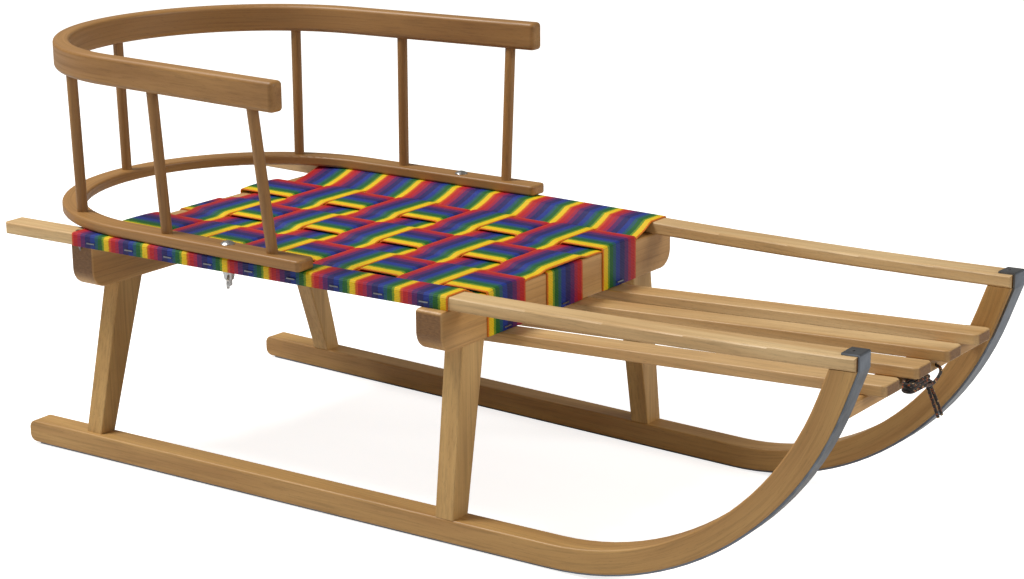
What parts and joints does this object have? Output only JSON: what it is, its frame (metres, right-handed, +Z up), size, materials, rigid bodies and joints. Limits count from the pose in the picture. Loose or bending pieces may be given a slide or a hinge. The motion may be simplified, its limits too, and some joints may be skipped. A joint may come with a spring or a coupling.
{
  "type": "runner sledge",
  "caption": "Wooden runner sledge with bent runners on steel strips, a woven webbing seat, slatted footrest, short pull cord and a bolted-on spindled hoop backrest.",
  "frame": {"origin": "bottom centre of the bounding box: on the ground, midway across and along", "axes": "X across, Y along with the bent-up front towards -Y and the backrest towards +Y, Z up; +X is the rider's left when facing the front, but node, body and mount names call the +X side right"},
  "size_m": [0.4284, 0.9996, 0.4235],
  "materials": {
    "rail_wood": "clear satin lacquer on straight-grained light wood",
    "runner_wood": "clear satin lacquer on steam-bent wood",
    "frame_wood": "clear satin lacquer, darker end grain",
    "slat_wood": "clear satin lacquer",
    "hoop_wood": "clear satin lacquer on steam-bent wood",
    "spindle_wood": "clear satin lacquer on turned dowel",
    "strip_steel": "cold-rolled strip, satin",
    "screw_steel": "bright zinc",
    "zinc_steel": "bright zinc plate",
    "webbing": "woven rainbow-striped webbing, matt",
    "cord": "dark braided cord with light flecks"
  },
  "bodies": {
    "sled": {"cross_strap_1": "webbing", "cross_strap_2": "webbing", "cross_strap_3": "webbing", "cross_strap_4": "webbing", "cross_strap_5": "webbing", "cross_strap_6": "webbing", "cross_strap_7": "webbing", "cross_strap_8": "webbing", "cross_strap_9": "webbing", "footrest_slat_1": "slat_wood", "footrest_slat_2": "slat_wood", "footrest_slat_3": "slat_wood", "footrest_slat_4": "slat_wood", "front_crossbar": "frame_wood", "front_crossbeam": "frame_wood", "front_leg_left": "frame_wood", "front_leg_right": "frame_wood", "long_strap_1": "webbing", "long_strap_2": "webbing", "long_strap_3": "webbing", "pull_cord_hank": "cord", "pull_cord_knot": "cord", "pull_cord_lead": "cord", "pull_cord_tails": "cord", "rail_screws": "screw_steel", "rear_crossbeam": "frame_wood", "rear_leg_left": "frame_wood", "rear_leg_right": "frame_wood", "runner_left": "runner_wood", "runner_right": "runner_wood", "slat_screws": "screw_steel", "steel_strip_left": "strip_steel", "steel_strip_right": "strip_steel", "strap_staples": "screw_steel", "strip_screws": "screw_steel", "top_rail_left": "rail_wood", "top_rail_right": "rail_wood", "washers": "zinc_steel"},
    "backrest": {"carriage_bolts": "zinc_steel", "lower_hoop": "hoop_wood", "spindle_corner_left": "spindle_wood", "spindle_corner_right": "spindle_wood", "spindle_front_left": "spindle_wood", "spindle_front_right": "spindle_wood", "spindle_middle_left": "spindle_wood", "spindle_middle_right": "spindle_wood", "spindle_rear": "spindle_wood", "upper_hoop": "hoop_wood"},
    "wing_nut_right": {"wing_nut_right": "zinc_steel"},
    "wing_nut_left": {"wing_nut_left": "zinc_steel"}
  },
  "joints": [
    {"name": "backrest_lift", "type": "slide", "parent": "sled", "child": "backrest", "axis": [0, 0, 1], "range_m": [0, 0.08]},
    {"name": "wing_nut_right_turn", "type": "hinge", "parent": "sled", "child": "wing_nut_right", "pos_m": [0.186, 0.165, 0.22], "axis": [0, 0, 1], "continuous": true},
    {"name": "wing_nut_left_turn", "type": "hinge", "parent": "sled", "child": "wing_nut_left", "pos_m": [-0.186, 0.165, 0.22], "axis": [0, 0, 1], "continuous": true}
  ]
}
